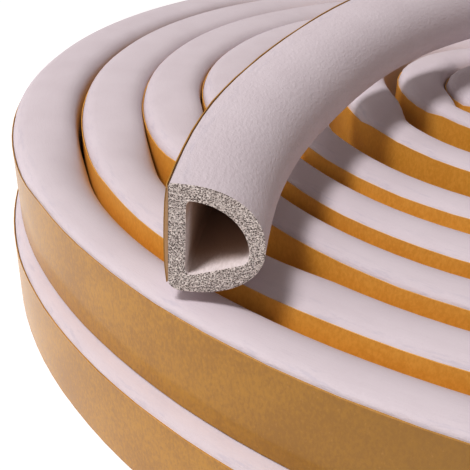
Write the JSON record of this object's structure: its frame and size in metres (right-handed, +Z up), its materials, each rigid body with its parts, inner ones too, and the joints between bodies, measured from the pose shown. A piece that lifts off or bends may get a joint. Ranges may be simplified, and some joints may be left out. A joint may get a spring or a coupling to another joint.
{
  "type": "rubber door weatherstrip",
  "caption": "Twin coil of hollow D profile sponge rubber door seal with kraft release paper on its flat adhesive back, one end lifted and laid over the coil",
  "frame": {"origin": "on the coil's axis, at the level of the floor that the coil lies on", "axes": "+Z up along the coil's axis; the picture's camera looks along +Y, with +X to the right"},
  "size_m": [0.1932, 0.1932, 0.0428],
  "materials": {
    "sponge_rubber": "matt white closed cell sponge rubber with a fine skin",
    "release_paper": "semi matt amber kraft release paper"
  },
  "bodies": {
    "root": {"lower_seal": "sponge_rubber", "upper_seal": "sponge_rubber", "lower_liner": "release_paper", "upper_liner": "release_paper"}
  },
  "joints": []
}
